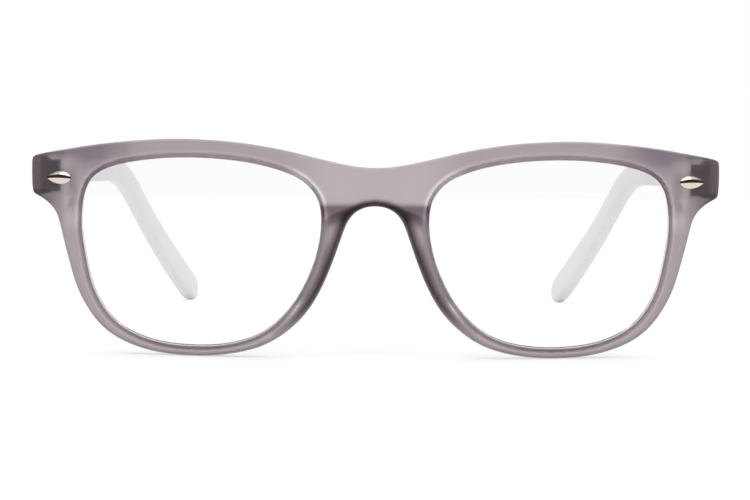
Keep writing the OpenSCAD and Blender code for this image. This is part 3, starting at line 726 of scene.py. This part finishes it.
def seen_directly(tree, bounces):
    """1 for rays that show the white background: straight ones, and mirrored ones or ones through glass
    within a number of bounces."""
    path = add_node(tree, "ShaderNodeLightPath").outputs
    early = calculate(tree, "LESS_THAN", path["Ray Depth"], bounces + 0.5)
    by_piece = calculate(tree, "MAXIMUM", path["Is Transmission Ray"], path["Is Glossy Ray"])
    return calculate(tree, "ADD", path["Is Camera Ray"], product(tree, by_piece, early), clamp=True)


def white_surroundings(settings):
    """World that is plain white to the eye, in metal and through glass. As a light it is a studio: white
    behind the glasses and overhead, and a darker room behind the camera."""
    world = bpy.data.worlds.new("Studio")
    bpy.context.scene.world = world
    world.use_nodes = True
    tree = world.node_tree
    tree.nodes.clear()
    way = along_axes(tree, add_node(tree, "ShaderNodeTexCoord").outputs["Generated"])
    behind = span(tree, way["Y"], -0.5, 0.6, settings.room, settings.daylight)
    above = span(tree, way["Z"], 0.1, 0.7, settings.room, settings.ceiling)
    studio = calculate(tree, "MAXIMUM", behind, above)
    strength = add_node(tree, "ShaderNodeMix", Factor=seen_directly(tree, SKY_BOUNCES), A=studio, B=1.0)
    sky = add_node(tree, "ShaderNodeBackground", Color=(1, 1, 1), Strength=strength.outputs["Result"])
    add_node(tree, "ShaderNodeOutputWorld", Surface=sky.outputs[0])
    lay_out(tree)


def table_white(settings):
    """White table top. To the eye it also glows, so that it looks white and still keeps its shadows."""
    material, tree, shader = new_material("Table_white")
    set_node(shader, Base_Color=(0.85, 0.85, 0.85), Roughness=0.8)
    away = add_node(tree, "ShaderNodeVectorMath", operation="LENGTH", Vector=object_place(tree))
    glow = span(tree, away.outputs["Value"], 150 * MM, 700 * MM, settings.near_glow, settings.far_glow)
    matt = add_node(tree, "ShaderNodeBsdfDiffuse", Color=(0.5, 0.5, 0.5))
    glowing = add_node(tree, "ShaderNodeAddShader")
    feed(glowing.inputs[0], matt.outputs[0])
    feed(glowing.inputs[1], add_node(tree, "ShaderNodeEmission", Strength=glow).outputs[0])
    choice = add_node(tree, "ShaderNodeMixShader", Fac=seen_directly(tree, TABLE_BOUNCES))
    feed(choice.inputs[1], shader.outputs[0])
    feed(choice.inputs[2], glowing.outputs[0])
    set_node(tree.nodes["Material Output"], Surface=choice.outputs[0])
    lay_out(tree)
    return material


def place_table(material):
    bm = bmesh.new()
    bmesh.ops.create_grid(bm, x_segments=1, y_segments=1, size=TABLE_HALF)
    mesh = bpy.data.meshes.new("table")
    bm.to_mesh(mesh)
    bm.free()
    mesh.materials.append(material)
    table = bpy.data.objects.new("table", mesh)
    table.location = (0, 0, -TABLE_GAP)
    bpy.context.scene.collection.objects.link(table)


def place_lamp(name, place, target, size, power):
    data = bpy.data.lights.new(name, "AREA")
    data.shape = "RECTANGLE"
    data.size, data.size_y = size
    data.energy = power
    lamp = bpy.data.objects.new(name, data)
    lamp.location = place
    lamp.rotation_euler = (Vector(target) - Vector(place)).to_track_quat("-Z", "Y").to_euler()
    bpy.context.scene.collection.objects.link(lamp)


def place_camera(settings):
    data = bpy.data.cameras.new("Camera")
    data.sensor_width = 36.0
    data.lens = settings.focal
    data.clip_start = 10 * MM
    camera = bpy.data.objects.new("Camera", data)
    bridge_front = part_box("front")[0].y
    camera.location = (0, bridge_front - settings.distance, settings.eye_height)
    ahead = Vector((0, math.cos(settings.pitch), -math.sin(settings.pitch)))
    turn = ahead.to_track_quat("-Z", "Y") @ Quaternion((0, 0, 1), settings.roll)
    camera.rotation_euler = turn.to_euler()
    bpy.context.scene.collection.objects.link(camera)
    bpy.context.scene.camera = camera


class GLASSES_OT_stage(bpy.types.Operator):
    """White table, soft lamps and the camera"""
    bl_idname = "glasses.stage"
    bl_label = "Stage"

    def execute(self, context):
        settings = context.scene.glasses_stage
        context.scene.view_settings.view_transform = "Standard"
        white_surroundings(settings)
        place_table(table_white(settings))
        place_lamp("Overhead", place=(0, 0.08, 0.7), target=(0, -0.05, 0.02), size=(0.7, 0.5),
                   power=settings.lamp)
        for name, x in (("Front_left", -0.55), ("Front_right", 0.55)):
            place_lamp(name, place=(x, -0.4, 0.75), target=(0, 0, 0.02), size=(0.5, 0.4),
                       power=settings.side_lamp)
        place_camera(settings)
        return {"FINISHED"}


class GLASSES_PT_panel(bpy.types.Panel):
    """Sidebar panel that lists the pieces"""
    bl_idname = "GLASSES_PT_panel"
    bl_label = "Photochromic glasses"
    bl_space_type = "VIEW_3D"
    bl_region_type = "UI"
    bl_category = "Glasses"

    def draw(self, context):
        for operator in OPERATORS:
            self.layout.operator(operator.bl_idname)


SETTINGS = {"glasses_plastic": PlasticSettings, "glasses_lens": LensSettings,
            "glasses_metal": MetalSettings, "glasses_stage": StageSettings}
OPERATORS = (GLASSES_OT_front, GLASSES_OT_temples, GLASSES_OT_lenses, GLASSES_OT_studs, GLASSES_OT_hinges,
             GLASSES_OT_springs, GLASSES_OT_stage)


def register():
    for group in SETTINGS.values():
        bpy.utils.register_class(group)
    for name, group in SETTINGS.items():
        setattr(bpy.types.Scene, name, PointerProperty(type=group))
    for operator in OPERATORS:
        bpy.utils.register_class(operator)
    bpy.utils.register_class(GLASSES_PT_panel)


def unregister():
    bpy.utils.unregister_class(GLASSES_PT_panel)
    for operator in reversed(OPERATORS):
        bpy.utils.unregister_class(operator)
    for name in SETTINGS:
        delattr(bpy.types.Scene, name)
    for group in reversed(list(SETTINGS.values())):
        bpy.utils.unregister_class(group)


def main():
    register()
    bpy.ops.glasses.front()
    bpy.ops.glasses.temples()
    bpy.ops.glasses.lenses()
    bpy.ops.glasses.studs()
    bpy.ops.glasses.hinges()
    bpy.ops.glasses.springs()
    bpy.ops.glasses.stage()


if __name__ == "__main__":
    main()
